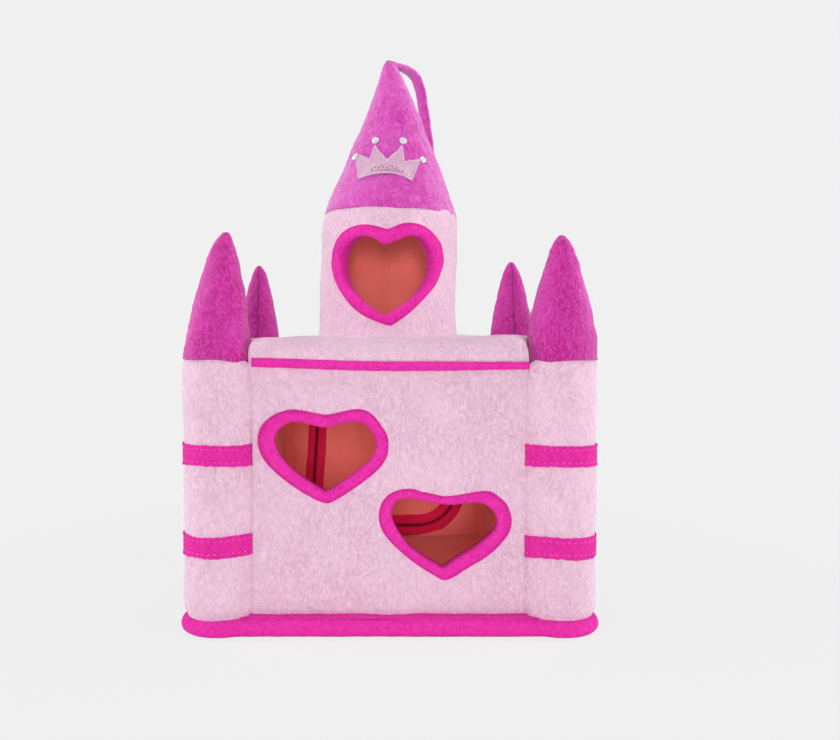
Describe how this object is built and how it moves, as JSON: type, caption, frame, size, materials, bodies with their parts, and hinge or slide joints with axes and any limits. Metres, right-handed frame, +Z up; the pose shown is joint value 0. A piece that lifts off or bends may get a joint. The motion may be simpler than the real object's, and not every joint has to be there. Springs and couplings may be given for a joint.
{
  "type": "plush toy castle",
  "caption": "Soft plush castle with padded walls, heart windows, stuffed corner turrets, a central tower with a carry loop and a hinged back door.",
  "frame": {"origin": "middle of the underside, on the surface that the castle stands on", "axes": "+Z up, front with the heart windows towards -Y, +X to the right seen from the front"},
  "size_m": [0.2238, 0.2098, 0.3308],
  "materials": {
    "pale_pink_plush": "short pale pink plush pile with a soft sheen and combed streaks",
    "orchid_plush": "short orchid pink plush pile with a strong sheen",
    "rose_plush": "short deep rose plush pile",
    "hot_pink_fleece": "hot pink fleece, used for bindings, piping and the base",
    "hot_pink_felt": "hot pink felt strips with two rows of running stitch",
    "coral_lining": "coral brushed lining cloth",
    "foam": "open-cell upholstery foam, hidden inside",
    "stiff_board": "stiff board, hidden inside",
    "crown_mesh": "pale pink mesh cloth",
    "satin_thread": "pale pink satin stitch",
    "clear_stone": "clear faceted stones"
  },
  "bodies": {
    "castle": {"base_underside": "hot_pink_fleece", "base_board": "stiff_board", "base_foam": "foam", "base_top_cover": "hot_pink_fleece", "floor_lining": "coral_lining", "base_roll": "hot_pink_fleece", "front_wall_plush": "pale_pink_plush", "front_wall_foam": "foam", "front_wall_lining": "coral_lining", "back_wall_plush": "pale_pink_plush", "back_wall_foam": "foam", "back_wall_lining": "coral_lining", "left_wall_plush": "pale_pink_plush", "left_wall_foam": "foam", "left_wall_lining": "coral_lining", "right_wall_plush": "pale_pink_plush", "right_wall_foam": "foam", "right_wall_lining": "coral_lining", "left_window_binding": "hot_pink_fleece", "right_window_binding": "hot_pink_fleece", "doorway_binding": "hot_pink_fleece", "door_hinge_welt": "hot_pink_fleece", "roof_lining": "coral_lining", "roof_board": "stiff_board", "roof_plush": "pale_pink_plush", "front_roof_piping": "hot_pink_fleece", "back_roof_piping": "hot_pink_fleece", "left_roof_piping": "hot_pink_fleece", "right_roof_piping": "hot_pink_fleece", "front_left_turret_column": "pale_pink_plush", "front_left_turret_cone": "rose_plush", "front_left_turret_upper_band": "hot_pink_felt", "front_left_turret_lower_band": "hot_pink_felt", "front_right_turret_column": "pale_pink_plush", "front_right_turret_cone": "rose_plush", "front_right_turret_upper_band": "hot_pink_felt", "front_right_turret_lower_band": "hot_pink_felt", "rear_left_turret_column": "pale_pink_plush", "rear_left_turret_cone": "rose_plush", "rear_left_turret_upper_band": "hot_pink_felt", "rear_left_turret_lower_band": "hot_pink_felt", "rear_right_turret_column": "pale_pink_plush", "rear_right_turret_cone": "rose_plush", "rear_right_turret_upper_band": "hot_pink_felt", "rear_right_turret_lower_band": "hot_pink_felt", "tower_plush": "pale_pink_plush", "tower_foam": "foam", "tower_lining": "coral_lining", "tower_floor_lining": "coral_lining", "tower_ceiling_lining": "coral_lining", "tower_window_binding": "hot_pink_fleece", "tower_cone": "orchid_plush", "crown_mesh": "crown_mesh", "crown_stitching": "satin_thread", "crown_stones": "clear_stone", "carry_loop": "orchid_plush"},
    "back_door": {"door_lining": "coral_lining", "door_foam": "foam", "door_plush": "pale_pink_plush", "door_binding": "hot_pink_fleece"}
  },
  "joints": [
    {"name": "door_hinge", "type": "hinge", "parent": "castle", "child": "back_door", "pos_m": [0, 0.096, 0.122], "axis": [1, 0, 0], "range_deg": [0, 100]}
  ]
}
